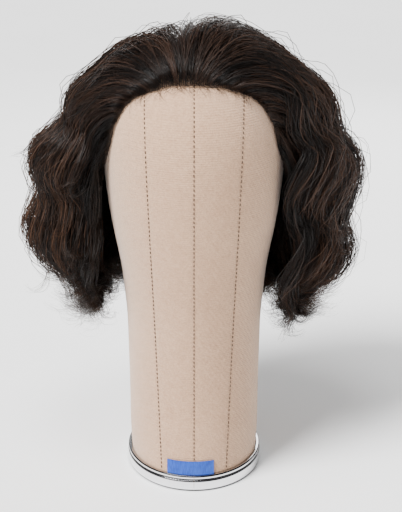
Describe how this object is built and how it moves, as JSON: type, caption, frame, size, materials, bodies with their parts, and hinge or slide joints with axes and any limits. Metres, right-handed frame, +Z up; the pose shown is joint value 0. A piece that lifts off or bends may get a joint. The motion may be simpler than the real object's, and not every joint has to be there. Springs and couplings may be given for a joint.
{
  "type": "costume wig on a block",
  "caption": "Chin-length wavy costume wig with a sewn cap, held on a padded canvas wig block that fits a wig clamp.",
  "frame": {"origin": "centre of the clamp socket's mouth, in the underside of the block's base", "axes": "+Z up through the crown, -Y towards the face side, +X to the right as seen from the front"},
  "size_m": [0.287, 0.2442, 0.4],
  "materials": {
    "canvas": "fine beige cotton canvas, stitched seams",
    "filling": "packed sawdust and cork",
    "wood": "plain turned beech",
    "base_wood": "sealed plywood",
    "steel": "zinc plated",
    "screw_steel": "zinc plated",
    "tack_steel": "blued",
    "chrome_trim": "polished",
    "chrome_bead": "polished",
    "blue_tag": "woven satin, blank",
    "lace": "fine sheer lace",
    "cap_net": "open stretch net",
    "ear_tab": "stretch velvet",
    "ribbon": "grosgrain ribbon",
    "stay": "bendable stay in a sleeve",
    "elastic": "braided elastic",
    "weft": "machine-sewn hair track",
    "hook_plastic": "moulded nylon",
    "hair": "synthetic fibre, soft sheen"
  },
  "bodies": {
    "block": {"base_plate": "base_wood", "base_screws": "screw_steel", "blank_tag": "blue_tag", "block_filling": "filling", "canvas_centre_left": "canvas", "canvas_centre_right": "canvas", "canvas_side_left": "canvas", "canvas_side_right": "canvas", "centre_post": "wood", "cover_tacks": "tack_steel", "socket_sleeve": "steel", "trim_band": "chrome_trim", "trim_bead": "chrome_bead"},
    "wig": {"back_net": "cap_net", "crown_net": "cap_net", "ear_tab_left": "ear_tab", "ear_tab_right": "ear_tab", "edge_ribbon": "ribbon", "hair_back_middle": "hair", "hair_back_upper": "hair", "hair_nape": "hair", "hair_side_left": "hair", "hair_side_right": "hair", "hair_top_left": "hair", "hair_top_right": "hair", "lace_front": "lace", "nape_elastic": "elastic", "tab_stay_left": "stay", "tab_stay_right": "stay", "weft_row_1": "weft", "weft_row_2": "weft", "weft_row_3": "weft", "weft_row_4": "weft", "weft_row_5": "weft", "weft_row_6": "weft"},
    "adjuster_left": {"adjuster_left": "hook_plastic"},
    "adjuster_right": {"adjuster_right": "hook_plastic"}
  },
  "joints": [
    {"name": "wig_lift", "type": "slide", "parent": "block", "child": "wig", "axis": [0, 0.342, 0.9397], "range_m": [0, 0.26]},
    {"name": "tighten_left", "type": "slide", "parent": "wig", "child": "adjuster_left", "axis": [0.7589, 0.6512, 0], "range_m": [0, 0.012]},
    {"name": "tighten_right", "type": "slide", "parent": "wig", "child": "adjuster_right", "axis": [-0.7589, 0.6512, 0], "range_m": [0, 0.012]}
  ]
}
